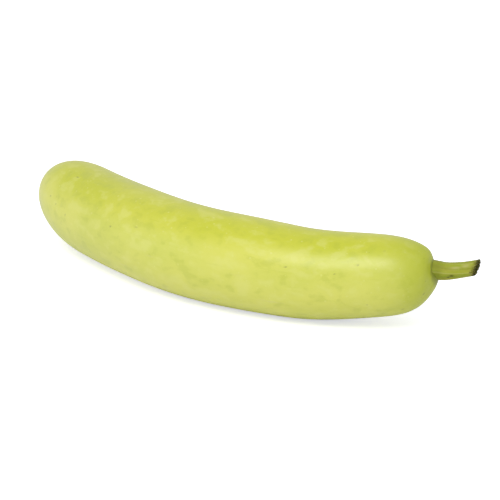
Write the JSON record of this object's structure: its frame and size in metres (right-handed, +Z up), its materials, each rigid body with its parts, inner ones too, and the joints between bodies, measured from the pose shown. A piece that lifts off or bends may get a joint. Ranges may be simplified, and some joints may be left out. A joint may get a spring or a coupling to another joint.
{
  "type": "bottle gourd",
  "caption": "Long pale green bottle gourd, gently bent, lying on its side with its cut ridged stem.",
  "frame": {"origin": "on the surface that the gourd lies on, below the middle of its bounding box", "axes": "+X towards the stem along the longest extent, +Y to the side that the blossom end swings to, +Z up"},
  "size_m": [0.3966, 0.2824, 0.0824],
  "materials": {
    "skin": "smooth satin rind, pale yellow-green with faint cloudy mottling",
    "stalk": "dull, ridged, half dried, dark at the cut"
  },
  "bodies": {
    "root": {"fruit": "skin", "stem": "stalk"}
  },
  "joints": []
}
